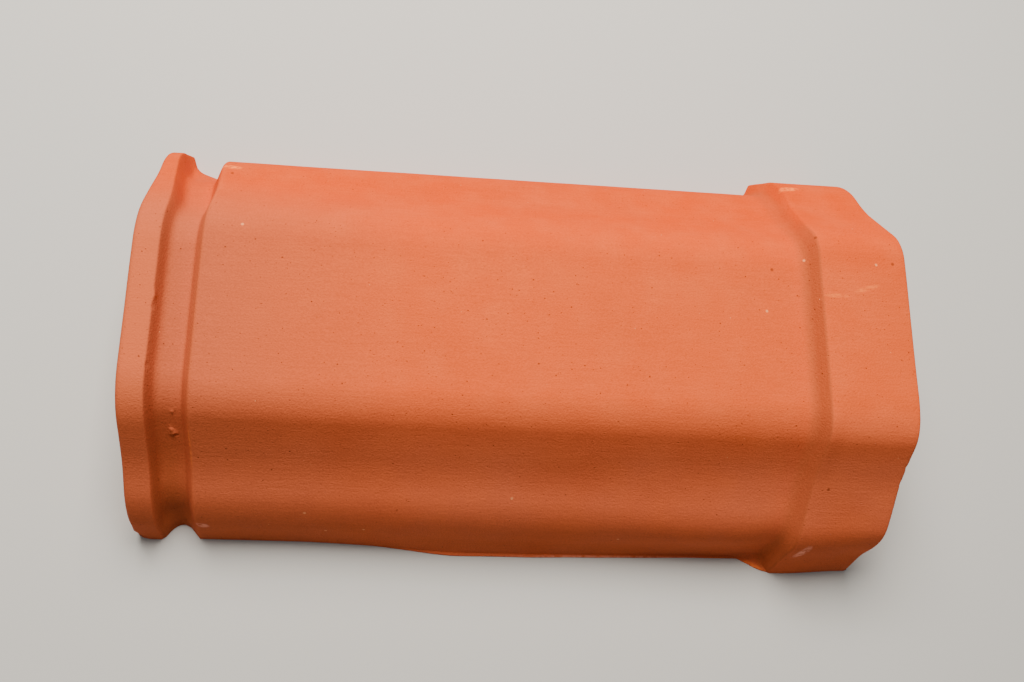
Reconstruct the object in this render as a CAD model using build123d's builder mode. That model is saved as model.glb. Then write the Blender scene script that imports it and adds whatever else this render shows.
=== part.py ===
"""Clay ridge tile: one pressed and fired piece with an angular, bell-footed section.

A flat top falls on both sides over a round shoulder, a steep slope, an easier slope and
a steep foot. One end is a spigot, a bead and a neck set below the body; the other end is a
collar that steps up over the body, so that it covers the spigot of the next tile.
X runs along the ridge from the spigot to the collar, Y across it and Z up from the feet.
"""

import os
from math import atan, cos, degrees, dist, radians, sin, tan

from build123d import *

# Body section, outside, at half length, to the sharp corners before rounding
tile_length = 400.0
body_height = 78.4
top_half_width = 47.8
upper_slope_angle = 46.4
upper_drop_share = 0.39
middle_slope_angle = 34.1
middle_drop_share = 0.191
foot_slope_angle = 69.6
shoulder_radius = 26.0
knee_round_share = 0.35
turn_round_share = 0.54

# Lengths along the ridge, and the draft that lets the tile leave its mould
bead_length = 12.6
neck_length = 18.2
collar_length = 49.3
end_taper = 2.4

# Outward steps from the body's surface, and the rounds as shares of their steps
bead_rise = 0.7
neck_depth = 8.8
collar_rise = 8.8
collar_shoulder_radius = 15.0
collar_edge_radius = 2.0
bead_edge_share = 0.36
body_edge_share = 0.68
neck_foot_share = 0.28
step_top_share = 0.4
step_foot_share = 0.55

# Hollow under the tile: a plain bore under the spigot, the body and the socket
wall = 13.0
neck_wall = 10.5
inner_shoulder_radius = 10.0
bore_setback = 6.0
socket_setback = 11.0
rim_radius = 1.5
inner_turn_share = 0.12
inner_round_share = 0.45

# One length past the ends and the feet for the cut, and one for picking edges by place
overrun = 20.0
pick_reach = 0.05

collar_end = tile_length / 2
collar_start = collar_end - collar_length
spigot_end = -tile_length / 2
neck_start = spigot_end + bead_length
body_start = neck_start + neck_length
draft_angle = degrees(atan(end_taper / collar_end))
slope_angles = (0, upper_slope_angle, middle_slope_angle, foot_slope_angle)


def half_corners(rise, foot_height):
    """Sharp corners of half the outline, moved outward by rise, from the top to the foot."""
    upper_drop = upper_drop_share * body_height
    middle_drop = middle_drop_share * body_height
    upper_run = upper_drop / tan(radians(upper_slope_angle))
    middle_run = middle_drop / tan(radians(middle_slope_angle))
    shoulder = (top_half_width, body_height)
    knee = (top_half_width + upper_run, body_height - upper_drop)
    turn = (knee[0] + middle_run, knee[1] - middle_drop)
    corners = []
    for corner, before, after in zip((shoulder, knee, turn), slope_angles, slope_angles[1:]):
        lean = radians((before + after) / 2)
        reach = rise / cos(radians((after - before) / 2))
        corners.append((corner[0] + reach * sin(lean), corner[1] + reach * cos(lean)))
    foot_run = (turn[1] - foot_height) / tan(radians(foot_slope_angle))
    foot_reach = rise / sin(radians(foot_slope_angle))
    corners.append((turn[0] + foot_run + foot_reach, foot_height))
    return corners


def rings(edges, x, foot_height=0):
    """Chains of edges that cross over the tile at a place x, from foot to foot, shortest first."""
    here = edges.filter_by_position(Axis.X, x - pick_reach, x + pick_reach)
    over = here.filter_by_position(Axis.Z, foot_height + pick_reach, tile_length)
    return [chain.edges() for chain in edges_to_wires(over).sort_by(SortBy.LENGTH)]


def drafted_length(start, end, step, top_radius, turn_share, foot_height=0):
    """Length of the section, a step out from the body, that widens towards the collar."""
    right = half_corners(end_taper * start / collar_end + step, foot_height)
    left = [(-across, up) for across, up in reversed(right)]
    middle_slope = dist(right[1], right[2])
    knee_bend = radians(upper_slope_angle - middle_slope_angle)
    turn_bend = radians(foot_slope_angle - middle_slope_angle)
    knee_radius = knee_round_share * middle_slope / tan(knee_bend / 2)
    turn_radius = turn_share * middle_slope / tan(turn_bend / 2)
    radii = (top_radius, knee_radius, turn_radius)
    with BuildPart() as length:
        with BuildSketch(Plane.YZ.offset(start)):
            with BuildLine():
                crown = FilletPolyline(*left, *right, radius=[*reversed(radii), *radii])
                Line(crown @ 1, crown @ 0)
            make_face()
        extrude(amount=end - start)
        sides = length.faces().filter_by(Axis.X, reverse=True).sort_by(Axis.Z)[1:]
        draft(sides, Plane.YZ.offset(start), -draft_angle)
    return length.part


def outer_length(start, end, step, top_radius):
    """Length of the outside, whose knee and turn share the middle slope between them."""
    return drafted_length(start, end, step, top_radius, turn_round_share)


def inner_length(start, end, step):
    """Length of the hollow, which runs on below the feet."""
    return drafted_length(start, end, step, inner_shoulder_radius, inner_turn_share, -overrun)


# Outer form: each length gets its lips, then the lengths meet and their feet are rounded
bead_height = neck_depth + bead_rise
with BuildPart() as bead:
    add(outer_length(spigot_end, neck_start, bead_rise, shoulder_radius + bead_rise))
    for place in (spigot_end, neck_start):
        fillet(rings(bead.edges(), place)[0], bead_height * bead_edge_share)

with BuildPart() as body:
    add(outer_length(body_start, collar_start, 0, shoulder_radius))
    fillet(rings(body.edges(), body_start)[0], neck_depth * body_edge_share)

with BuildPart() as collar:
    add(outer_length(collar_start, collar_end, collar_rise, collar_shoulder_radius))
    fillet(rings(collar.edges(), collar_start)[0], collar_rise * step_top_share)
    fillet(rings(collar.edges(), collar_end)[0], collar_edge_radius)

with BuildPart() as envelope:
    add(outer_length(neck_start, body_start, -neck_depth, shoulder_radius - neck_depth))
    add(bead.part)
    fillet(rings(envelope.edges(), neck_start)[0], neck_depth * neck_foot_share)
    add(body.part)
    fillet(rings(envelope.edges(), body_start)[0], neck_depth * neck_foot_share)
    add(collar.part)
    fillet(rings(envelope.edges(), collar_start)[0], collar_rise * step_foot_share)

# Hollow: the bore under the spigot, the body's inside and the socket in the collar
bore_step = -neck_depth - neck_wall
bore_end = body_start + bore_setback
socket_start = collar_start + socket_setback
with BuildPart() as hollow:
    add(inner_length(spigot_end - overrun, bore_end, bore_step))
    add(inner_length(bore_end, socket_start, -wall))
    add(inner_length(socket_start, collar_end + overrun, collar_rise - wall))
    for place, step in ((bore_end, -wall - bore_step), (socket_start, collar_rise)):
        for chain in rings(hollow.edges(), place, -overrun):
            fillet(chain, step * inner_round_share)

with BuildPart() as ridge_tile:
    add(envelope.part)
    add(hollow.part, mode=Mode.SUBTRACT)
    for place in (spigot_end, collar_end):
        fillet(rings(ridge_tile.edges(), place)[0], rim_radius)
ridge_tile.part.label = "ridge_tile"

os.makedirs("parts", exist_ok=True)
export_step(ridge_tile.part, "parts/ridge_tile.step")
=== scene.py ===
"""Looks of the clay ridge tile: two pressed skins, trimmed feet, handling marks and fired clay."""

from math import cos, radians, sin, tan

import bpy
from bpy.props import FloatProperty, FloatVectorProperty, PointerProperty
from mathutils import Matrix, Vector, noise


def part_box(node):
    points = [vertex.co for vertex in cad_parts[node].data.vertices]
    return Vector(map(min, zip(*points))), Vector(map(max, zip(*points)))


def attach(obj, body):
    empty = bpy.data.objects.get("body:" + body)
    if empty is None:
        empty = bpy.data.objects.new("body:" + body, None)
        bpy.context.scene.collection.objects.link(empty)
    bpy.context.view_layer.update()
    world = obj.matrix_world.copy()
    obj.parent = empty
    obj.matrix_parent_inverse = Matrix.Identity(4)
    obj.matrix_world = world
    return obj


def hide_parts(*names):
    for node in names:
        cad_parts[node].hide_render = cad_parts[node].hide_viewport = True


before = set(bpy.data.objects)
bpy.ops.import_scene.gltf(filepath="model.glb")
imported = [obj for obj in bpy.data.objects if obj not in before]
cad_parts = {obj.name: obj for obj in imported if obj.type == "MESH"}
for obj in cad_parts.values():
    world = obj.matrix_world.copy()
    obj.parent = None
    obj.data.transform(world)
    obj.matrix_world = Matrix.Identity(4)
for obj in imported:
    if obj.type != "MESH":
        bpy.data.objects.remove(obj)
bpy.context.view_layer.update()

bl_info = {
    "name": "Clay ridge tile",
    "version": (1, 0, 0),
    "blender": (4, 5, 0),
    "location": "View3D > Sidebar > Ridge tile",
    "description": "Models a pressed and fired clay ridge tile and its studio stage",
    "category": "Object",
}

MM = 0.001
node_low, node_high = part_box("ridge_tile")


def mm(name, description, value):
    """Length property whose default is given in millimetres."""
    return FloatProperty(name=name, description=description, default=value * MM,
                         unit="LENGTH", subtype="DISTANCE", precision=5)


def angle(name, description, value):
    """Angle property whose default is given in degrees."""
    return FloatProperty(name=name, description=description, default=radians(value),
                         unit="ROTATION", subtype="ANGLE")


def share(name, description, value):
    """Plain number between nought and one."""
    return FloatProperty(name=name, description=description, default=value,
                         min=0.0, max=1.0, subtype="FACTOR")


def linear(hex_colour):
    """Linear red, green and blue of an sRGB hex value such as C8643C."""
    channels = [int(hex_colour[i:i + 2], 16) / 255 for i in (0, 2, 4)]
    return tuple(c / 12.92 if c <= 0.04045 else ((c + 0.055) / 1.055) ** 2.4 for c in channels)


def colour(name, description, hex_colour):
    """Colour property whose default is an sRGB hex value."""
    return FloatVectorProperty(name=name, description=description, default=linear(hex_colour),
                               size=3, min=0.0, max=1.0, subtype="COLOR")


class RIDGETILE_PG_sizes(bpy.types.PropertyGroup):
    """Sizes of the tile: section, rises and walls are the solid's, the rest follows the pressed clay."""

    tile_length: mm("Length", "Along the ridge, over both ends", (node_high[0] - node_low[0]) / MM)
    body_height: mm("Body height", "Feet to crown at half length", 78.4)
    top_half_width: mm("Crown half width", "Ridge line to the sharp shoulder", 47.8)
    upper_slope_angle: angle("Upper slope", "Below the shoulder", 46.4)
    upper_drop_share: share("Upper drop", "Shoulder to knee, as a part of the body's height", 0.39)
    middle_slope_angle: angle("Middle slope", "Between the knee and the turn", 34.1)
    middle_drop_share: share("Middle drop", "Knee to turn, as a part of the body's height", 0.191)
    foot_slope_angle: angle("Foot slope", "Below the turn", 69.6)
    shoulder_radius: mm("Shoulder radius", "On the body where it starts", 26.0)
    collar_shoulder_radius: mm("Collar shoulder radius", "On the collar", 23.0)
    spigot_round: mm("Spigot round", "How much rounder the shoulders of the bead and the neck are", 12.0)
    knee_share: share("Knee share", "Part of the middle slope that the knee's round takes", 0.35)
    turn_share: share("Turn share", "Part of the middle slope that the outer turn's round takes", 0.54)
    inner_turn_share: share("Inner turn share", "The same for the turn inside", 0.12)
    bead_length: mm("Bead length", "Along the ridge", 14.1)
    neck_length: mm("Neck length", "Along the ridge", 18.3)
    collar_length: mm("Collar length", "Along the ridge", 51.5)
    end_taper: mm("Taper", "How far the section grows from half length to the collar's end", 2.4)
    bead_rise: mm("Bead rise", "Bead over the body's surface", 0.7)
    neck_depth: mm("Neck depth", "Neck under the body's surface", 8.8)
    collar_rise: mm("Collar rise", "Collar over the body's surface", 8.8)
    wall: mm("Wall", "Thickness under the body", 13.0)
    neck_wall: mm("Neck wall", "Thickness under the neck", 10.5)
    bore_setback: mm("Bore setback", "Spigot's bore past the start of the body", 4.4)
    socket_setback: mm("Socket setback", "Start of the collar to the socket's step", 13.2)
    inner_shoulder_radius: mm("Inner shoulder radius", "Inside, under the crown", 10.0)
    lip_reach: mm("Flash reach", "Clay squeezed out along the near foot", 4.0)
    lip_taper: mm("Flash taper", "How much of it is lost towards the collar", 2.5)
    ledge: mm("Ledge", "Thin flat lip at the bottom of the squeezed clay", 1.8)
    fullness: mm("Fullness", "How far the near turn of the body stands out", 1.2)
    knee_fill: mm("Knee fill", "How far the near knee is filled towards the collar", 3.0)
    droop: mm("Droop", "How far the collar's near shoulder sank before firing", 1.3)
    step_skew: mm("Step skew", "How much later the step starts at the far foot", 4.0)
    bead_fullness: mm("Bead fullness", "How far the bead stands out at its far knee", 3.2)
    bead_narrowing: mm("Bead narrowing", "How much of the bead is lost at its far foot", 5.0)
    tuck: mm("Tuck", "How far the near foot stands in towards the spigot", 1.5)
    sag: mm("Sag", "How far the near turn and foot of the collar's end were pushed in", 3.0)
    unevenness: mm("Unevenness", "Depth of the slow waves left by pressing and firing", 0.5)


class RIDGETILE_PG_finish(bpy.types.PropertyGroup):
    """Colours of the fired clay, of the light and shade painted onto it, and of the stage."""

    clay: colour("Clay", "Fired body on the crown", "D55622")
    # Painted shade: the near side's clay is greyer and cooler, standing in for the shade it lies in
    clay_near_painted_shade: colour("Near clay", "Fired body on the near side, a little greyer", "D0623C")
    # Painted light: the far side's clay is deeper and more saturated, standing in for the light that falls on
    # it
    clay_far_painted_light: colour("Far clay", "Fired body on the far side, a little deeper", "D34700")
    # Also mixed onto paled edges, partly as a painted highlight
    clay_pale: colour("Pale clay", "Dry bloom in clouds and on rubbed edges", "E26A38")
    clay_deep: colour("Deep clay", "Patches fired a little harder", "C55022")
    # Painted shade: browner clay mixed into the neck's groove and the foot of the step, where shade falls
    clay_painted_shade: colour("Shaded clay", "Browner, dusty clay in sheltered corners", "A04E2C")
    # Painted shade: duller, pinker clay towards the spigot, standing in for the light falling off there
    clay_painted_dim: colour("Dull clay", "Duller, pinker skin towards the spigot", "B85836")
    pit: colour("Pit", "Shade inside small burnt-out holes", "5A2410")
    speck: colour("Speck", "Grains of lime and pale grit", "E88C5A")
    scuff: colour("Scuff", "Bright fresh rub on a hard edge", "FF7C30")
    # Also paints a lit strip along the near ledge, which the softbox leaves in shade
    dust_and_painted_light: colour("Dust", "Pale clay dust rubbed off by other tiles", "FFA080")
    floor: colour("Floor", "Plain pale studio floor", "C4C1BB")


# Steps that divide a section's flats and rounds, from the crown's middle to the foot
SECTION_RUNS = (14, 8, 1, 6)
SECTION_ARCS = (12, 8, 10)
# Heights of the last rows of a foot, from the top down
FOOT_ROWS = (4.0 * MM, 2.4 * MM, 1.0 * MM, 0.8 * MM, 0.0)
# Sloped walls behind the bead, before the body and under the collar, from the starts of neck, body and collar
BEAD_BACK = (-0.7 * MM, 2.6 * MM)
BODY_FRONT = (-4.2 * MM, 0.5 * MM)
COLLAR_STEP = (-3.0 * MM, 1.6 * MM)
# How far the two skins reach round the rims, where they are joined
SPIGOT_RIM = 5.0 * MM
COLLAR_RIM = 4.0 * MM
HOLLOW_RIM = 3.0 * MM
# Rounds along the outside and the hollow from the spigot to the collar, and the steps that divide the flats
OUTER_ROUNDS = (3.0 * MM, 1.3 * MM, 4.4 * MM, 2.2 * MM, 3.0 * MM, 6.5 * MM, 2.6 * MM, 2.0 * MM)
OUTER_RUNS = (1, 5, 3, 8, 1, 130, 1, 18, 1)
INNER_ROUNDS = (1.5 * MM, 2.8 * MM, 2.8 * MM, 4.0 * MM, 4.0 * MM, 1.5 * MM)
INNER_RUNS = (1, 14, 1, 145, 1, 15, 1)
ROUND_STEPS = 5
# How far the collar stays under the solid's own surface, and the floor under the feet
HAIR = 0.02 * MM


def rounded(corners, radii, arc_steps, run_steps):
    """Chain through corners, each inner corner an arc, with its arcs and straight runs divided."""
    chain = [corners[0]]
    for i, radius in enumerate(radii):
        before = (corners[i + 1] - corners[i]).normalized()
        after = (corners[i + 2] - corners[i + 1]).normalized()
        bend = -before.angle_signed(after)
        start = corners[i + 1] - before * radius * tan(abs(bend) / 2)
        side = Vector((-before.y, before.x)) * (1 if bend > 0 else -1)
        centre = start + side * radius
        chain += [chain[-1].lerp(start, k / run_steps[i]) for k in range(1, run_steps[i] + 1)]
        for k in range(1, arc_steps[i] + 1):
            chain.append(centre + Matrix.Rotation(bend * k / arc_steps[i], 2) @ (start - centre))
    last = run_steps[-1]
    return chain + [chain[-1].lerp(corners[-1], k / last) for k in range(1, last + 1)]


def section(sizes, rise, top_radius, turn_share):
    """Points across the tile from the near foot to the far one, moved outward by rise."""
    slopes = (0.0, sizes.upper_slope_angle, sizes.middle_slope_angle, sizes.foot_slope_angle)
    shoulder = Vector((sizes.top_half_width, sizes.body_height))
    upper_drop = sizes.upper_drop_share * sizes.body_height
    middle_drop = sizes.middle_drop_share * sizes.body_height
    knee = shoulder + Vector((upper_drop / tan(slopes[1]), -upper_drop))
    turn = knee + Vector((middle_drop / tan(slopes[2]), -middle_drop))
    corners = [Vector((0.0, sizes.body_height + rise))]
    for corner, before, after in zip((shoulder, knee, turn), slopes, slopes[1:]):
        lean = (before + after) / 2
        corners.append(corner + Vector((sin(lean), cos(lean))) * rise / cos((after - before) / 2))
    foot = []
    for height in FOOT_ROWS:
        foot_run = (turn.y - height) / tan(slopes[3])
        foot.append(Vector((turn.x + foot_run + rise / sin(slopes[3]), height)))
    corners.append(foot[0])
    middle_slope = (corners[3] - corners[2]).length
    knee_radius = sizes.knee_share * middle_slope / tan((slopes[1] - slopes[2]) / 2)
    turn_radius = turn_share * middle_slope / tan((slopes[3] - slopes[2]) / 2)
    half = rounded(corners, (top_radius, knee_radius, turn_radius), SECTION_ARCS, SECTION_RUNS) + foot[1:]
    return [Vector((-point.x, point.y)) for point in reversed(half[1:])] + half


def stations(sizes):
    """Places along the ridge: the collar's end, and the starts of the neck, the body and the collar."""
    end = sizes.tile_length / 2
    neck = -end + sizes.bead_length
    body = neck + sizes.neck_length
    collar = end - sizes.collar_length
    return end, neck, body, collar


def outer_path(sizes):
    """Places and steps along the outside: bead, neck, body and collar with their rounds."""
    end, neck, body, collar = stations(sizes)
    bead, deep, high = sizes.bead_rise, -sizes.neck_depth, sizes.collar_rise - HAIR
    corners = [
        (-end, bead - SPIGOT_RIM), (-end, bead),
        (neck + BEAD_BACK[0], bead), (neck + BEAD_BACK[1], deep),
        (body + BODY_FRONT[0], deep), (body + BODY_FRONT[1], 0.0),
        (collar + COLLAR_STEP[0], 0.0), (collar + COLLAR_STEP[1], high),
        (end, high), (end, high - COLLAR_RIM),
    ]
    arc_steps = (ROUND_STEPS,) * len(OUTER_ROUNDS)
    return rounded([Vector(corner) for corner in corners], OUTER_ROUNDS, arc_steps, OUTER_RUNS)


def inner_path(sizes):
    """Places and steps along the hollow: spigot bore, body and socket with their rounds."""
    end, _, body, collar = stations(sizes)
    bore, inside = -sizes.neck_depth - sizes.neck_wall, -sizes.wall
    socket = sizes.collar_rise - sizes.wall
    bore_end, socket_start = body + sizes.bore_setback, collar + sizes.socket_setback
    corners = [
        (-end, bore + HOLLOW_RIM), (-end, bore), (bore_end, bore), (bore_end, inside),
        (socket_start, inside), (socket_start, socket), (end, socket), (end, socket + HOLLOW_RIM),
    ]
    arc_steps = (ROUND_STEPS,) * len(INNER_ROUNDS)
    return rounded([Vector(corner) for corner in corners], INNER_ROUNDS, arc_steps, INNER_RUNS)


def ease(value, start, finish):
    """Smooth step from nought at start to one at finish, which may be the lower of the two."""
    t = min(max((value - start) / (finish - start), 0.0), 1.0)
    return t * t * (3 - 2 * t)


def between(value, rise, fall):
    """Nought, then one after the run of the rise, and nought again after the run of the fall."""
    return ease(value, *rise) * (1 - ease(value, *fall))


# Runs over which the uneven forms set in or fade: along the ridge, from half length
TUCK_RUN = (-120 * MM, -60 * MM)
FULL_START = (-110 * MM, 0.0)
KNEE_RUN = (10 * MM, 110 * MM)
LIP_START = (-82 * MM, -30 * MM)
LIP_TAPER_START = -20 * MM
# Along the ridge, from the spigot's end, the start of the neck and the start of the body
NARROW_START = 2 * MM
NARROW_FULL = -1 * MM
NARROW_EASES = 3 * MM
BEAD_FADE = (-1 * MM, 1.5 * MM)
SPIGOT_BLEND = (-4 * MM, 4 * MM)
NECK_STOP = 5 * MM
NARROW_STOP = (4 * MM, 30 * MM)
# Along the ridge, from the start of the collar
FULL_STOP = (-30 * MM, 0.0)
LIP_STOP = (-16 * MM, 0.0)
WEB_RUN = (-24 * MM, 3 * MM)
SKEW_START = (-24 * MM, -6 * MM)
SKEW_STOP = (6 * MM, 26 * MM)
DROOP_RUN = (0.0, 12 * MM)
SAG_START = 8 * MM
# Up from the feet, or down to them where the first height is the greater
FILL_HEIGHTS = (18 * MM, 3 * MM)
FLARE_HEIGHTS = (14 * MM, 2 * MM)
TUCK_HEIGHTS = (25 * MM, 0.0)
SAG_HEIGHTS = (58 * MM, 32 * MM)
SAG_FOOT_HEIGHTS = (20 * MM, 0.0)
FULL_HEIGHTS = ((4 * MM, 20 * MM), (28 * MM, 50 * MM))
KNEE_HEIGHTS = ((12 * MM, 38 * MM), (42 * MM, 60 * MM))
DROOP_HEIGHTS = (50 * MM, 70 * MM)
DENT_HEIGHTS = ((4 * MM, 16 * MM), (40 * MM, 62 * MM))
BEAD_HEIGHTS = (70 * MM, 48 * MM)
BEAD_FOOT_HEIGHTS = (35 * MM, 15 * MM)
# Across the tile, from the ridge line
DROOP_REACH = (32 * MM, 50 * MM)
FAR_SHIFT_REACH = (50 * MM, 100 * MM)
# Parts of the neck's depth that clay fills at the near foot: in mid neck, and what both its ends add
NEAR_FILL_SHARES = (0.25, 0.75)
NEAR_FILL_POWER = 1.7
# The same at the far foot, at the start of the neck and what its end adds, and the hollow above it
FAR_FILL_SHARES = (0.5, -0.95)
FAR_DENT_SHARE = 0.35
# Parts of a form that are lost: the bead at its far foot, its narrowing at the body, the sag at the foot
BEAD_FOOT_SHARE = 0.35
NARROW_LOSS_SHARE = 0.6
SAG_FOOT_SHARE = 0.25
# Part of the collar's rise that the web before it reaches
WEB_RISE_SHARE = 0.94
# How far the lowest rows of the near foot, from the bottom up, follow the ledge and the web
LEDGE_SHARES = (1.0, 1.0, 0.15, 0.0)
WEB_SHARES = (1.0, 1.0, 0.4, 0.15)
# Waviness of the ledge's edge: part of its width, and the length of its waves
RAGGED_SHARE = 0.1
RAGGED_LENGTH = 22 * MM


def neck_groove(sizes, place):
    """Depth of the groove at a place, and the share of the neck's length that lies before it."""
    end, neck, body, _ = stations(sizes)
    depth = max(-place.y, 0.0) if -end < place.x < body + NECK_STOP else 0.0
    return depth, min(max((place.x - neck) / sizes.neck_length, 0.0), 1.0)


def shape_far_side(sizes, place, points):
    """Fills the far corner of the neck, hollows the neck above it and makes the bead fuller."""
    neck = stations(sizes)[1]
    depth, along_neck = neck_groove(sizes, place)
    fill = depth * (FAR_FILL_SHARES[0] + FAR_FILL_SHARES[1] * along_neck)
    dent = depth * FAR_DENT_SHARE
    bead = sizes.bead_fullness * (1 - ease(place.x - neck, *BEAD_FADE))
    for point in points:
        height = point.y
        point.x += fill * ease(height, *FILL_HEIGHTS)
        point.x += (bead * ease(height, *BEAD_HEIGHTS)
                    * (1 - BEAD_FOOT_SHARE * ease(height, *BEAD_FOOT_HEIGHTS)))
        point.x -= dent * between(height, *DENT_HEIGHTS)


def shape_near_side(sizes, place, points, flare):
    """Tucks the near side in by the spigot, fills it over the body and presses it in at the collar.

    Clay also fills the corners of the neck, so that its notch is a small arch, and flares the foot.
    """
    end, _, _, collar = stations(sizes)
    depth, along_neck = neck_groove(sizes, place)
    from_middle = abs(2 * along_neck - 1) ** NEAR_FILL_POWER
    fill = depth * (NEAR_FILL_SHARES[0] + NEAR_FILL_SHARES[1] * from_middle)
    tuck = sizes.tuck * (1 - ease(place.x, *TUCK_RUN))
    full = sizes.fullness * ease(place.x, *FULL_START) * (1 - ease(place.x - collar, *FULL_STOP))
    knee = sizes.knee_fill * ease(place.x, *KNEE_RUN)
    sag = sizes.sag * ease(place.x, collar + SAG_START, end)
    droop = sizes.droop * ease(place.x - collar, *DROOP_RUN)
    for point in points:
        height = point.y
        point.x += sag * ease(height, *SAG_HEIGHTS) * (1 - SAG_FOOT_SHARE * ease(height, *SAG_FOOT_HEIGHTS))
        point.x -= fill * ease(height, *FILL_HEIGHTS)
        point.x += tuck * ease(height, *TUCK_HEIGHTS) - flare * ease(height, *FLARE_HEIGHTS)
        point.x -= full * between(height, *FULL_HEIGHTS)
        height -= max(place.y, 0.0)
        point.x -= knee * between(height, *KNEE_HEIGHTS)
        point.y -= droop * ease(-point.x, *DROOP_REACH) * ease(height, *DROOP_HEIGHTS)


def squeezed_foot(sizes, place):
    """Flare, ledge and web of the clay that was squeezed out along the near foot at a place."""
    _, _, body, collar = stations(sizes)
    squeezed = ease(place.x, *LIP_START) * (1 - ease(place.x - collar, *LIP_STOP))
    lost = sizes.lip_taper * ease(place.x, LIP_TAPER_START, collar)
    flare = (sizes.lip_reach - sizes.ledge - lost) * squeezed
    ragged = 1 + RAGGED_SHARE * noise.noise(Vector((place.x / RAGGED_LENGTH, 0.0, 0.0)))
    ledge = sizes.ledge * ragged * squeezed
    rise = sizes.collar_rise * WEB_RISE_SHARE * ease(place.x - collar, *WEB_RUN)
    web = max(rise - max(place.y, 0.0), 0.0) / sin(sizes.foot_slope_angle) if place.x > body else 0.0
    return flare, ledge, web


def far_shift(sizes, place):
    """How far the far foot stands along the ridge: the bead narrows there, and the step starts later."""
    end, neck, body, collar = stations(sizes)
    narrow = ease(place.x, -end + NARROW_START, neck + NARROW_FULL)
    narrow *= 1 - NARROW_LOSS_SHARE * ease(place.x, neck + NARROW_EASES, body)
    narrow *= 1 - ease(place.x - body, *NARROW_STOP)
    skew = between(place.x - collar, SKEW_START, SKEW_STOP)
    return skew * sizes.step_skew - narrow * sizes.bead_narrowing


def outer_section(sizes, place):
    """Points of the outside at a place, with the uneven forms of the clay on both sides."""
    end, _, body, _ = stations(sizes)
    taper = sizes.end_taper * place.x / end
    draft = sizes.end_taper * max(place.x - body, 0.0) / end
    blend = max(place.y, 0.0) / sizes.collar_rise
    top = (sizes.shoulder_radius + draft) * (1 - blend) + sizes.collar_shoulder_radius * blend
    top += min(place.y, 0.0)
    top += sizes.spigot_round * (1 - ease(place.x - body, *SPIGOT_BLEND))
    points = section(sizes, taper + place.y, top, sizes.turn_share)
    near_side = [point for point in points if point.x <= 0]
    far_side = [point for point in points if point.x > 0]
    flare, ledge, web = squeezed_foot(sizes, place)
    shape_far_side(sizes, place, far_side)
    shape_near_side(sizes, place, near_side, flare)
    for point, ledge_share, web_share in zip(near_side, LEDGE_SHARES, WEB_SHARES):
        point.x -= max(web * web_share - flare, ledge * ledge_share)
    shift = far_shift(sizes, place)
    return [Vector((place.x + shift * ease(y, *FAR_SHIFT_REACH), y, z)) for y, z in points]


def inner_section(sizes, place):
    """Points of the hollow at a place."""
    taper = sizes.end_taper * place.x * 2 / sizes.tile_length
    points = section(sizes, taper + place.y, sizes.inner_shoulder_radius, sizes.inner_turn_share)
    return [Vector((place.x, y, z)) for y, z in points]


# Where the bead's crown is paled, as rubbed clay and partly a painted highlight, and where the sides begin,
# across the tile from the ridge line
CROWN_PALED = ((-70 * MM, -40 * MM), (30 * MM, 60 * MM))
SIDE_START = (45 * MM, 75 * MM)
# Bead paled as rubbed clay and partly a painted highlight, and painted shade in the groove, from the start of
# the neck; edge paled likewise from the start of the body
BEAD_PALED = (-2 * MM, 0.0)
GROOVE_START = (-1 * MM, 0.5 * MM)
GROOVE_STOP = (4 * MM, 15 * MM)
GROOVE_NEAR_DELAY = 4 * MM
EDGE_PALED = (-0.5 * MM, 1.6 * MM)
# Painted shade at the foot of the step, from the start of the collar
STEP_PAINTED_SHADE = ((-8 * MM, -2 * MM), (1.4 * MM, 3 * MM))
# Strength of each: the paled edge, the groove's painted shade on the crown and what the near side adds, the
# step's painted shade likewise
EDGE_SHARE = 0.5
GROOVE_SHARES = (0.35, 0.65)
STEP_SHARES = (0.9, -0.4)


def rubbing_and_painted_light(sizes, point):
    """Share at a point: above nought where edges are paled, rubbed and partly a painted highlight, below it
    where shade is painted into corners.
    """
    _, neck, body, collar = stations(sizes)
    near, far = ease(-point.y, *SIDE_START), ease(point.y, *SIDE_START)
    # Paled bead crown and body front edge: rubbed clay, partly a painted highlight
    bead = (1 - ease(point.x - neck, *BEAD_PALED)) * between(point.y, *CROWN_PALED)
    edge = EDGE_SHARE if body + EDGE_PALED[0] < point.x < body + EDGE_PALED[1] else 0.0
    # Painted shade in the neck's groove, deeper on the near side, and at the step's foot
    groove_stop = [place + GROOVE_NEAR_DELAY * near for place in GROOVE_STOP]
    groove = between(point.x - neck, GROOVE_START, groove_stop)
    groove *= GROOVE_SHARES[0] + GROOVE_SHARES[1] * near
    step = between(point.x - collar, *STEP_PAINTED_SHADE) * (STEP_SHARES[0] + STEP_SHARES[1] * far)
    return max(bead, edge) - groove - step


def lay_skin(sections):
    """Sheet of clay laid over a mould: a grid with one row of points for each section."""
    rows, columns = len(sections), len(sections[0])
    bpy.ops.mesh.primitive_grid_add(x_subdivisions=rows - 1, y_subdivisions=columns - 1, size=1)
    skin = bpy.context.object
    for vertex in skin.data.vertices:
        row = round((vertex.co.x + 0.5) * (rows - 1))
        column = round((vertex.co.y + 0.5) * (columns - 1))
        vertex.co = sections[row][column]
    return skin


# Distance within which a point counts as on an end, and within which two points are one
END_REACH = 0.01 * MM
MERGE_REACH = 0.02 * MM


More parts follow.
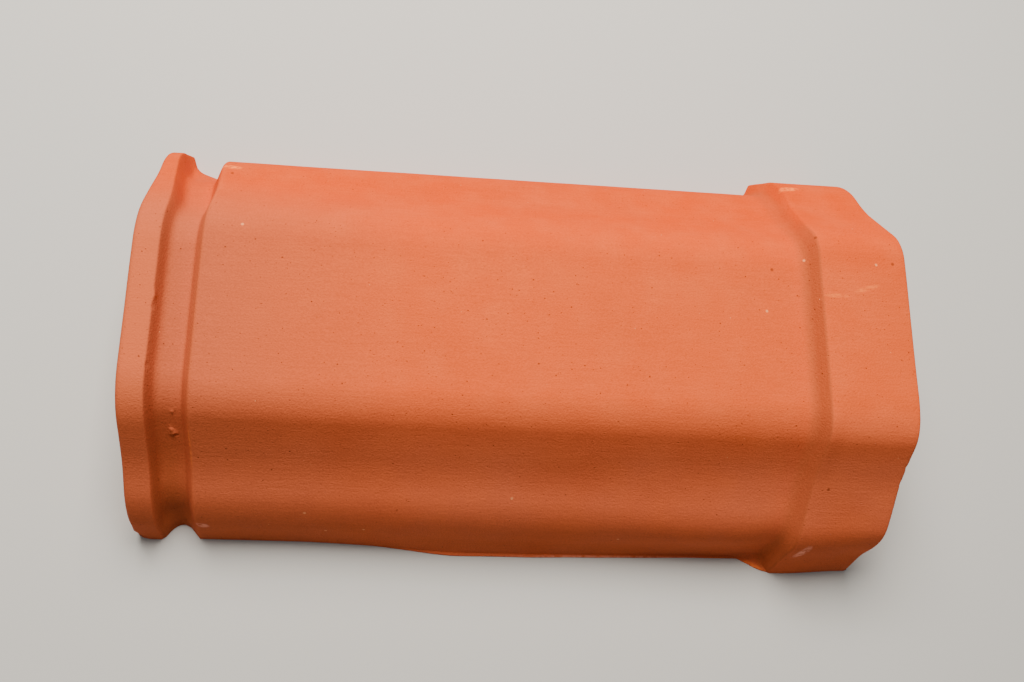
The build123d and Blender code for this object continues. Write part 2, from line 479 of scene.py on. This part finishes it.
def close_wall(outside, inside, end):
    """Joins the two skins, bridges them round both ends and fills the feet."""
    bpy.ops.object.select_all(action="DESELECT")
    inside.select_set(True)
    outside.select_set(True)
    bpy.context.view_layer.objects.active = outside
    bpy.ops.object.join()
    mesh = outside.data
    bpy.ops.object.mode_set(mode="EDIT")
    bpy.ops.mesh.select_mode(type="EDGE")
    for side in (-1, 1):
        bpy.ops.mesh.select_all(action="DESELECT")
        bpy.ops.mesh.select_non_manifold(extend=False, use_wire=False, use_multi_face=False,
                                         use_non_contiguous=False, use_verts=False)
        bpy.ops.object.mode_set(mode="OBJECT")
        for edge in mesh.edges:
            at_end = all(abs(mesh.vertices[index].co.x - side * end) < END_REACH for index in edge.vertices)
            edge.select = edge.select and at_end
        bpy.ops.object.mode_set(mode="EDIT")
        bpy.ops.mesh.bridge_edge_loops()
    bpy.ops.mesh.select_all(action="SELECT")
    bpy.ops.mesh.remove_doubles(threshold=MERGE_REACH)
    bpy.ops.mesh.fill_holes(sides=0)
    bpy.ops.mesh.select_all(action="SELECT")
    bpy.ops.mesh.normals_make_consistent(inside=False)
    bpy.ops.object.mode_set(mode="OBJECT")
    return outside


# Height over which the slow waves set in, and their size
WAVE_HEIGHTS = (5 * MM, 20 * MM)
WAVE_SIZE = 60 * MM


def wave(tile, sizes):
    """Gives the fired clay slow waves, inward only and none at the feet, which stay in one plane."""
    group = tile.vertex_groups.new(name="clear_of_feet")
    for vertex in tile.data.vertices:
        group.add([vertex.index], ease(vertex.co.z, *WAVE_HEIGHTS), "REPLACE")
    texture = bpy.data.textures.new("pressing_waves", "CLOUDS")
    texture.noise_scale = WAVE_SIZE
    texture.noise_depth = 1
    bpy.ops.object.modifier_add(type="DISPLACE")
    modifier = tile.modifiers[-1]
    modifier.texture = texture
    modifier.texture_coords = "LOCAL"
    modifier.strength = sizes.unevenness
    modifier.mid_level = 1.0
    modifier.vertex_group = group.name
    bpy.ops.object.modifier_apply(modifier=modifier.name)
    tile.vertex_groups.clear()


# A mark with a longer reach, in mm, is a slow bulge that needs no finer faces
BROAD_REACH = 10.0
# Faces are divided a little past the reach of a finer mark, but not the many-cornered ones of feet and rims
FINE_MARGIN = 1.2
FINE_CUTS = 2
MOST_CORNERS = 4
# Marks left by handling: place, how far the clay was pushed, and the reach of the mark, all in mm
MARKS = (
    ((200.0, -95.0, 43.0), (0.0, -0.6, 0.7), 30.0),
    ((-200.0, -106.0, 1.0), (1.3, 1.0, 0.0), 9.0),
    ((-186.0, 4.0, 76.6), (0.5, 0.0, 0.0), 4.0),
    ((-186.0, -2.4, 76.4), (-0.4, 0.0, -0.2), 2.2),
    ((-186.0, -30.8, 75.4), (-0.3, 0.0, -0.2), 2.0),
    ((-176.3, -58.8, 51.1), (0.0, -0.6, 0.6), 3.0),
    ((-177.3, -57.4, 52.6), (0.2, -0.4, 0.5), 1.8),
    ((-175.2, -59.8, 50.2), (0.0, 0.3, -0.5), 1.7),
    ((-176.2, -49.6, 60.3), (0.0, -0.2, 0.3), 1.8),
    ((200.0, -68.0, 71.9), (-0.3, 0.1, -0.2), 2.6),
    ((200.0, -75.2, 63.4), (-0.45, 0.1, -0.2), 3.0),
    ((199.0, 78.0, 58.0), (-0.9, -0.5, -0.6), 4.0),
)


def work_mark(tile, place, push, reach):
    """Pushes the clay in or out round a place, after dividing the faces there for a fine mark."""
    mesh = tile.data
    centre = Vector(place) * MM
    bpy.context.tool_settings.mesh_select_mode = (False, False, True)
    bpy.ops.object.mode_set(mode="EDIT")
    bpy.ops.mesh.select_all(action="DESELECT")
    bpy.ops.object.mode_set(mode="OBJECT")
    for face in mesh.polygons:
        close = (face.center - centre).length < reach * FINE_MARGIN * MM
        face.select = len(face.vertices) <= MOST_CORNERS and close
    bpy.ops.object.mode_set(mode="EDIT")
    if reach < BROAD_REACH:
        bpy.ops.mesh.subdivide(number_cuts=FINE_CUTS)
    bpy.ops.mesh.select_all(action="DESELECT")
    bpy.ops.object.mode_set(mode="OBJECT")
    bpy.context.tool_settings.mesh_select_mode = (True, False, False)
    min(mesh.vertices, key=lambda vertex: (vertex.co - centre).length_squared).select = True
    bpy.ops.object.mode_set(mode="EDIT")
    bpy.ops.transform.translate(value=Vector(push) * MM, use_proportional_edit=True,
                                use_proportional_connected=True, proportional_edit_falloff="SMOOTH",
                                proportional_size=reach * MM)
    bpy.ops.object.mode_set(mode="OBJECT")


def add_node(tree, kind, links=(), **settings):
    """Adds a shader node with its settings; links pair an input with a socket or a value."""
    node = tree.nodes.new(kind)
    for name, value in settings.items():
        setattr(node, name, value)
    for key, source in links:
        if isinstance(source, bpy.types.NodeSocket):
            tree.links.new(source, node.inputs[key])
        else:
            node.inputs[key].default_value = source
    return node


# Kinds of node that the clay uses most, and the sockets of a colour mix
NOISE = "ShaderNodeTexNoise"
RANGE = "ShaderNodeMapRange"
MATH = "ShaderNodeMath"
MIX = "ShaderNodeMix"
MIX_FACTOR, MIX_FIRST, MIX_SECOND, MIX_RESULT = 0, 6, 7, 2

# Kiln patches, thumb-sized clouds, sand of about 0.3 mm drawn coarser so that it shows, and drag lines
PATCH = 60 * MM
CLOUD = 18 * MM
SAND = 0.9 * MM
DRAG = 1.5 * MM
DRAG_STRETCH = (0.09, 1.0, 1.0)
# Cells that hold one pit or grain each, and the radius of the largest as a share of its cell
FINE_PIT = (2.6 * MM, 0.17)
BURNT_PIT = (4.4 * MM, 0.125)
LIME_GRAIN = (9 * MM, 0.05)
PIT_CORE_SHARE = 0.6
# How dark the pits are, and the relief of sand, drag lines and pits in mm
FINE_PIT_SHADE = 0.34
BURNT_PIT_SHADE = 0.55
SAND_RELIEF = 0.28
DRAG_RELIEF = 0.08
PIT_RELIEF = -0.45
# Half the width over which the colour turns from the near side's painted shade to the far side's painted
# light, and its stops
SIDES_REACH = 68 * MM
CROWN_STOPS = (0.22, 0.68)
# Painted shade that dulls the skin towards the spigot, where the light falls off: along the ridge from half
# length, and on the far and near sides from the ridge line
PAINTED_DIM_ALONG = (-60 * MM, -180 * MM)
PAINTED_DIM_FAR = (80 * MM, 45 * MM)
PAINTED_DIM_NEAR = (-75 * MM, -45 * MM)

# Rubs from other tiles, and a painted lit strip along the near ledge: two ends in mm, half width in mm,
# strength and colour
RUBS = (
    ((-167.5, 91.2, 33.7), (-160.3, 91.1, 34.9), 3.0, 1.0, "scuff"),
    ((-165.0, -101.1, 19.8), (-163.0, -101.3, 19.2), 3.0, 0.8, "dust_and_painted_light"),
    ((152.6, 99.7, 44.2), (163.6, 101.4, 42.9), 3.4, 1.0, "scuff"),
    ((156.4, -112.9, 25.3), (159.1, -107.6, 35.4), 3.2, 0.9, "dust_and_painted_light"),
    ((151.3, 19.6, 88.6), (164.2, 19.8, 88.9), 1.4, 0.6, "scuff"),
    ((168.5, 22.3, 88.9), (182.5, 26.7, 89.1), 1.6, 0.6, "scuff"),
    ((-167.5, -55.1, 65.3), (-167.0, -75.2, 46.1), 1.1, 0.4, "scuff"),
    # Painted light: a pale strip along the near ledge, standing in for light where the softbox leaves it in
    # shade
    ((-20.0, -117.0, 1.0), (128.0, -118.5, 1.0), 1.6, 0.45, "dust_and_painted_light"),
    ((133.0, -118.5, 1.5), (147.0, -121.0, 2.0), 2.0, 0.5, "scuff"),
)
RUB_BREAKS = 2.5 * MM
# Places in mm of single grains of lime and of large pits, with the radius in mm and the strength of each kind
GRAINS = (
    (-149.0, 42.6, 75.4), (145.2, 41.2, 80.7), (182.0, 38.2, 89.2), (122.5, 11.8, 79.6),
    (-112.6, -94.8, 31.6), (-82.5, -102.1, 21.0), (-7.2, -85.9, 41.4), (55.2, -103.8, 20.8),
    (-102.1, -102.8, 17.6),
)
GRAIN_MARK = (0.95, 1.0)
PITS = (
    (126.8, 35.1, 79.8), (159.4, -79.0, 60.8), (191.6, 39.2, 89.3), (150.0, 53.1, 86.0),
    (-162.5, 85.7, 39.2),
)
PIT_MARK = (1.15, 0.6)


def kiln_colour_with_painted_light(tree, finish, place, cloud):
    """Colour from the kiln with painted light: a greyer near tint for shade, the crown, a deeper far tint for
    light, deep patches, pale clouds and painted shade dulling the spigot.
    """
    patch = add_node(tree, NOISE, (("Vector", place), ("Scale", 1 / PATCH), ("Detail", 2.0)))
    patch_mask = add_node(tree, RANGE, (("Value", patch.outputs["Fac"]), ("From Min", 0.45),
                                        ("From Max", 0.75), ("To Max", 0.35)))
    cloud_mask = add_node(tree, RANGE, (("Value", cloud.outputs["Fac"]), ("From Min", 0.4),
                                        ("From Max", 0.75), ("To Max", 0.25)))
    axes = add_node(tree, "ShaderNodeSeparateXYZ", ((0, place),))
    across = add_node(tree, RANGE, (("Value", axes.outputs["Y"]), ("From Min", -SIDES_REACH),
                                    ("From Max", SIDES_REACH)))
    # Painted light and shade across the tile: the near side's shaded tint, the crown's clay and the far
    # side's lit tint
    sides = add_node(tree, "ShaderNodeValToRGB", (("Fac", across.outputs[0]),))
    stops = sides.color_ramp.elements
    stops[0].color, stops[1].color = (*finish.clay_near_painted_shade, 1), (*finish.clay_far_painted_light, 1)
    for position in CROWN_STOPS:
        stops.new(position).color = (*finish.clay, 1)
    body = add_node(tree, MIX, ((MIX_FACTOR, patch_mask.outputs[0]), (MIX_FIRST, sides.outputs["Color"]),
                                (MIX_SECOND, (*finish.clay_deep, 1))), data_type="RGBA")
    bloom = add_node(tree, MIX, ((MIX_FACTOR, cloud_mask.outputs[0]), (MIX_FIRST, body.outputs[MIX_RESULT]),
                                 (MIX_SECOND, (*finish.clay_pale, 1))), data_type="RGBA")
    # Painted shade: the skin is dulled towards the spigot, less on the near and far sides
    spigot = add_node(tree, RANGE, (("Value", axes.outputs["X"]), ("From Min", PAINTED_DIM_ALONG[0]),
                                    ("From Max", PAINTED_DIM_ALONG[1])))
    far = add_node(tree, RANGE, (("Value", axes.outputs["Y"]), ("From Min", PAINTED_DIM_FAR[0]),
                                 ("From Max", PAINTED_DIM_FAR[1]), ("To Min", 0.1)))
    near = add_node(tree, RANGE, (("Value", axes.outputs["Y"]), ("From Min", PAINTED_DIM_NEAR[0]),
                                  ("From Max", PAINTED_DIM_NEAR[1]), ("To Min", 0.7)))
    crown = add_node(tree, MATH, ((0, spigot.outputs[0]), (1, far.outputs[0])), operation="MULTIPLY")
    painted_dim = add_node(tree, MATH, ((0, crown.outputs[0]), (1, near.outputs[0])), operation="MULTIPLY")
    painted_dim_mix = add_node(tree, MIX, ((MIX_FACTOR, painted_dim.outputs[0]), (MIX_FIRST, bloom.outputs[MIX_RESULT]),
                                  (MIX_SECOND, (*finish.clay_painted_dim, 1))), data_type="RGBA")
    return painted_dim_mix.outputs[MIX_RESULT]


def sandy_clay_with_painted_light(tree, finish, clay, sand, drag):
    """Colour with sand and drag lines, with painted shade mixed in as browner clay in sheltered corners, and
    paler where edges rub, partly a painted highlight.
    """
    sand_tone = add_node(tree, RANGE, (("Value", sand.outputs["Fac"]), ("From Min", 0.25), ("From Max", 0.75),
                                       ("To Min", 0.86), ("To Max", 1.1)))
    drag_tone = add_node(tree, RANGE, (("Value", drag.outputs["Fac"]), ("From Min", 0.3), ("From Max", 0.7),
                                       ("To Min", 0.97), ("To Max", 1.03)))
    tone = add_node(tree, MATH, ((0, sand_tone.outputs[0]), (1, drag_tone.outputs[0])), operation="MULTIPLY")
    rub_and_painted_light = add_node(tree, "ShaderNodeAttribute", attribute_name="rub_and_painted_light")
    # Painted shade: below nought, the share mixes browner clay into the groove and the step's foot
    sheltered = add_node(tree, RANGE, (("Value", rub_and_painted_light.outputs["Fac"]), ("From Max", -1.0), ("To Max", 0.7)))
    shaded = add_node(tree, MIX, ((MIX_FACTOR, sheltered.outputs[0]), (MIX_FIRST, clay),
                                  (MIX_SECOND, (*finish.clay_painted_shade, 1))), data_type="RGBA")
    sandy = add_node(tree, "ShaderNodeVectorMath", ((0, shaded.outputs[MIX_RESULT]),
                                                    ("Scale", tone.outputs[0])), operation="SCALE")
    # Paler clay on rubbed edges, partly a painted highlight
    pale_rub_and_highlight = add_node(tree, RANGE, (("Value", rub_and_painted_light.outputs["Fac"]), ("To Max", 0.3)))
    worn_with_painted_light = add_node(tree, MIX, ((MIX_FACTOR, pale_rub_and_highlight.outputs[0]), (MIX_FIRST, sandy.outputs[0]),
                                (MIX_SECOND, (*finish.clay_pale, 1))), data_type="RGBA")
    return worn_with_painted_light.outputs[MIX_RESULT]


def scattered(tree, place):
    """Masks of the fine pits, the burnt-out pits and the lime grains, each in its own random cell."""
    masks = []
    for cell, reach in (FINE_PIT, BURNT_PIT, LIME_GRAIN):
        cells = add_node(tree, "ShaderNodeTexVoronoi", (("Vector", place), ("Scale", 1 / cell)))
        sized = add_node(tree, MATH, ((0, cells.outputs["Distance"]), (1, cells.outputs["Color"])),
                         operation="DIVIDE")
        mask = add_node(tree, RANGE, (("Value", sized.outputs[0]), ("From Min", reach * PIT_CORE_SHARE),
                                      ("From Max", reach), ("To Min", 1.0), ("To Max", 0.0)))
        masks.append(mask.outputs[0])
    return masks


def single_marks(tree, finish, place, skin, tile):
    """Colour with the single rubs, the painted lit strip, grains and pits, each a soft streak between two
    points of the tile.
    """
    broken = add_node(tree, NOISE, (("Vector", place), ("Scale", 1 / RUB_BREAKS), ("Detail", 3.0)))
    broken_mask = add_node(tree, RANGE, (("Value", broken.outputs["Fac"]), ("From Min", 0.3),
                                         ("From Max", 0.6)))
    streaks = [(rub[:4], getattr(finish, rub[4]), broken_mask.outputs[0]) for rub in RUBS]
    streaks += [((point, point, *GRAIN_MARK), finish.speck, 1.0) for point in GRAINS]
    streaks += [((point, point, *PIT_MARK), finish.pit, 1.0) for point in PITS]
    for (start, end, width, strength), tint, breakup in streaks:
        ends = [tile.closest_point_on_mesh(Vector(point) * MM)[1] for point in (start, end)]
        run = ends[1] - ends[0]
        turned = run.to_track_quat("X", "Z").to_euler() if run.length else Vector((0, 0, 0))
        reach = (run.length / 2 + width * MM, width * MM, width * MM)
        spot = add_node(tree, "ShaderNodeMapping", (("Vector", place), ("Location", (ends[0] + ends[1]) / 2),
                                                    ("Rotation", turned), ("Scale", reach)),
                        vector_type="TEXTURE")
        fade = add_node(tree, "ShaderNodeTexGradient", (("Vector", spot.outputs[0]),),
                        gradient_type="SPHERICAL")
        solid = add_node(tree, RANGE, (("Value", fade.outputs["Fac"]), ("From Max", 0.5),
                                       ("To Max", strength)))
        mask = add_node(tree, MATH, ((0, solid.outputs[0]), (1, breakup)), operation="MULTIPLY")
        marked = add_node(tree, MIX, ((MIX_FACTOR, mask.outputs[0]), (MIX_FIRST, skin),
                                      (MIX_SECOND, (*tint, 1))), data_type="RGBA")
        skin = marked.outputs[MIX_RESULT]
    return skin


def fired_clay(finish, tile):
    """Unglazed terracotta, pressed in a plaster mould and fired.

    It is matte and sandy to the eye: slow patches from the kiln, drag lines along the ridge,
    burnt-out pits, lime grains, paler edges that are partly a painted highlight and a few rubs from other
    tiles.
    Light and shade are painted in too: a greyer near side, a deeper far side, dimmer towards the spigot,
    browner shade in the groove and at the step's foot, and a lit strip along the near ledge.
    """
    material = bpy.data.materials.new("pressed_unglazed_terracotta")
    material.use_nodes = True
    tree = material.node_tree
    shader = tree.nodes["Principled BSDF"]
    shader.inputs["IOR"].default_value = 1.52
    shader.inputs["Specular IOR Level"].default_value = 0.05
    place = add_node(tree, "ShaderNodeTexCoord").outputs["Object"]
    cloud = add_node(tree, NOISE, (("Vector", place), ("Scale", 1 / CLOUD), ("Detail", 4.0)))
    sand = add_node(tree, NOISE, (("Vector", place), ("Scale", 1 / SAND), ("Detail", 3.0),
                                  ("Roughness", 0.6)))
    along = add_node(tree, "ShaderNodeMapping", (("Vector", place), ("Scale", DRAG_STRETCH)))
    drag = add_node(tree, NOISE, (("Vector", along.outputs[0]), ("Scale", 1 / DRAG), ("Detail", 2.0)))
    clay = kiln_colour_with_painted_light(tree, finish, place, cloud)
    worn_with_painted_light = sandy_clay_with_painted_light(tree, finish, clay, sand, drag)

    # Pits, single marks and lime grains over the worn clay with its painted light and shade
    fine, burnt, lime = scattered(tree, place)
    fine_shade = add_node(tree, MATH, ((0, fine), (1, FINE_PIT_SHADE)), operation="MULTIPLY")
    pit_shade = add_node(tree, MATH, ((0, burnt), (1, BURNT_PIT_SHADE), (2, fine_shade.outputs[0])),
                         operation="MULTIPLY_ADD")
    pitted = add_node(tree, MIX, ((MIX_FACTOR, pit_shade.outputs[0]), (MIX_FIRST, worn_with_painted_light),
                                  (MIX_SECOND, (*finish.pit, 1))), data_type="RGBA")
    marked = single_marks(tree, finish, place, pitted.outputs[MIX_RESULT], tile)
    limed = add_node(tree, MIX, ((MIX_FACTOR, lime), (MIX_FIRST, marked),
                                 (MIX_SECOND, (*finish.speck, 1))), data_type="RGBA")
    tree.links.new(limed.outputs[MIX_RESULT], shader.inputs["Base Color"])

    # Relief in millimetres: sand, drag lines and pits
    grit = add_node(tree, MATH, ((0, sand.outputs["Fac"]), (1, SAND_RELIEF)), operation="MULTIPLY")
    lines = add_node(tree, MATH, ((0, drag.outputs["Fac"]), (1, DRAG_RELIEF), (2, grit.outputs[0])),
                     operation="MULTIPLY_ADD")
    holes = add_node(tree, MATH, ((0, pit_shade.outputs[0]), (1, PIT_RELIEF), (2, lines.outputs[0])),
                     operation="MULTIPLY_ADD")
    bump = add_node(tree, "ShaderNodeBump", (("Height", holes.outputs[0]), ("Distance", MM),
                                             ("Strength", 1.0)))
    tree.links.new(bump.outputs[0], shader.inputs["Normal"])
    rough = add_node(tree, RANGE, (("Value", cloud.outputs["Fac"]), ("To Min", 0.78), ("To Max", 0.92)))
    tree.links.new(rough.outputs[0], shader.inputs["Roughness"])
    return material


# Bends sharper than this stay crisp
CREASE_ANGLE = radians(40)


class RIDGETILE_OT_press(bpy.types.Operator):
    """Press the ridge tile from two sheets of clay and fire it"""

    bl_idname = "ridge_tile.press"
    bl_label = "Press ridge tile"

    def execute(self, context):
        sizes = context.scene.ridge_tile_sizes
        finish = context.scene.ridge_tile_finish
        bpy.ops.object.select_all(action="DESELECT")
        outside = lay_skin([outer_section(sizes, place) for place in outer_path(sizes)])
        # Per point: above nought, paled edges that are partly a painted highlight; below nought, painted
        # shade in the groove and at the step's foot
        rub_and_painted_light = outside.data.attributes.new("rub_and_painted_light", "FLOAT", "POINT")
        for vertex in outside.data.vertices:
            rub_and_painted_light.data[vertex.index].value = rubbing_and_painted_light(sizes, vertex.co)
        inside = lay_skin([inner_section(sizes, place) for place in inner_path(sizes)])
        tile = close_wall(outside, inside, sizes.tile_length / 2)
        tile.name = "pressed_ridge_tile"
        wave(tile, sizes)
        for place, push, reach in MARKS:
            work_mark(tile, place, push, reach)
        tile.data.materials.append(fired_clay(finish, tile))
        bpy.ops.object.shade_smooth_by_angle(angle=CREASE_ANGLE)
        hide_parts("ridge_tile")
        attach(tile, "root")
        return {"FINISHED"}


# Stage in metres: floor, soft sky light, one softbox with the point it looks at, and the camera
FLOOR_SIZE = 6.0
SKY_COLOUR = (0.88, 0.95, 1.0, 1)
SKY_STRENGTH = 0.2
SOFTBOX_PLACE = (-0.15, 0.7, 1.12)
SOFTBOX_AIM = (0.0, 0.0, 0.05)
SOFTBOX_SIZE = 0.8
SOFTBOX_COLOUR = (1.0, 0.95, 0.88)
SOFTBOX_WATTS = 44.0
CAMERA_PLACE = (-0.08123, -0.12107, 0.49789)
CAMERA_TURN = (radians(14.423), radians(-9.266), radians(0.527))
CAMERA_SENSOR_MM = 36.0
CAMERA_LENS_MM = 30.854
CAMERA_CLIP = 0.01


class RIDGETILE_OT_stage(bpy.types.Operator):
    """Set up the pale floor, the soft light and the camera"""

    bl_idname = "ridge_tile.stage"
    bl_label = "Set up stage"

    def execute(self, context):
        scene = context.scene
        bpy.ops.object.select_all(action="DESELECT")
        bpy.ops.mesh.primitive_plane_add(size=FLOOR_SIZE, location=(0.0, 0.0, -HAIR))
        floor = context.object
        floor.name = "floor"
        material = bpy.data.materials.new("matt_studio_paint")
        material.use_nodes = True
        shader = material.node_tree.nodes["Principled BSDF"]
        shader.inputs["Base Color"].default_value = (*scene.ridge_tile_finish.floor, 1)
        shader.inputs["Roughness"].default_value = 0.9
        floor.data.materials.append(material)
        world = bpy.data.worlds.new("soft_studio")
        scene.world = world
        world.use_nodes = True
        background = world.node_tree.nodes["Background"]
        background.inputs["Color"].default_value = SKY_COLOUR
        background.inputs["Strength"].default_value = SKY_STRENGTH
        bpy.ops.object.light_add(type="AREA", location=SOFTBOX_PLACE)
        key = context.object
        key.name = "overhead_softbox"
        key.data.size = SOFTBOX_SIZE
        key.data.color = SOFTBOX_COLOUR
        key.data.energy = SOFTBOX_WATTS
        key.rotation_euler = (Vector(SOFTBOX_AIM) - key.location).to_track_quat("-Z", "Y").to_euler()
        bpy.ops.object.camera_add(location=CAMERA_PLACE, rotation=CAMERA_TURN)
        camera = context.object
        camera.data.sensor_width = CAMERA_SENSOR_MM
        camera.data.lens = CAMERA_LENS_MM
        camera.data.clip_start = CAMERA_CLIP
        scene.camera = camera
        return {"FINISHED"}


class RIDGETILE_PT_sidebar(bpy.types.Panel):
    """Lists the tile's operators, sizes and colours"""

    bl_idname = "RIDGETILE_PT_sidebar"
    bl_label = "Ridge tile"
    bl_space_type = "VIEW_3D"
    bl_region_type = "UI"
    bl_category = "Ridge tile"

    def draw(self, context):
        self.layout.operator(RIDGETILE_OT_press.bl_idname)
        self.layout.operator(RIDGETILE_OT_stage.bl_idname)
        for group in (context.scene.ridge_tile_sizes, context.scene.ridge_tile_finish):
            box = self.layout.box()
            for name in group.__annotations__:
                box.prop(group, name)


CLASSES = (
    RIDGETILE_PG_sizes, RIDGETILE_PG_finish, RIDGETILE_OT_press, RIDGETILE_OT_stage, RIDGETILE_PT_sidebar,
)


def register():
    for cls in CLASSES:
        bpy.utils.register_class(cls)
    bpy.types.Scene.ridge_tile_sizes = PointerProperty(type=RIDGETILE_PG_sizes)
    bpy.types.Scene.ridge_tile_finish = PointerProperty(type=RIDGETILE_PG_finish)


def unregister():
    del bpy.types.Scene.ridge_tile_finish
    del bpy.types.Scene.ridge_tile_sizes
    for cls in reversed(CLASSES):
        bpy.utils.unregister_class(cls)


def main():
    register()
    bpy.ops.ridge_tile.press()
    bpy.ops.ridge_tile.stage()


if __name__ == "__main__":
    main()
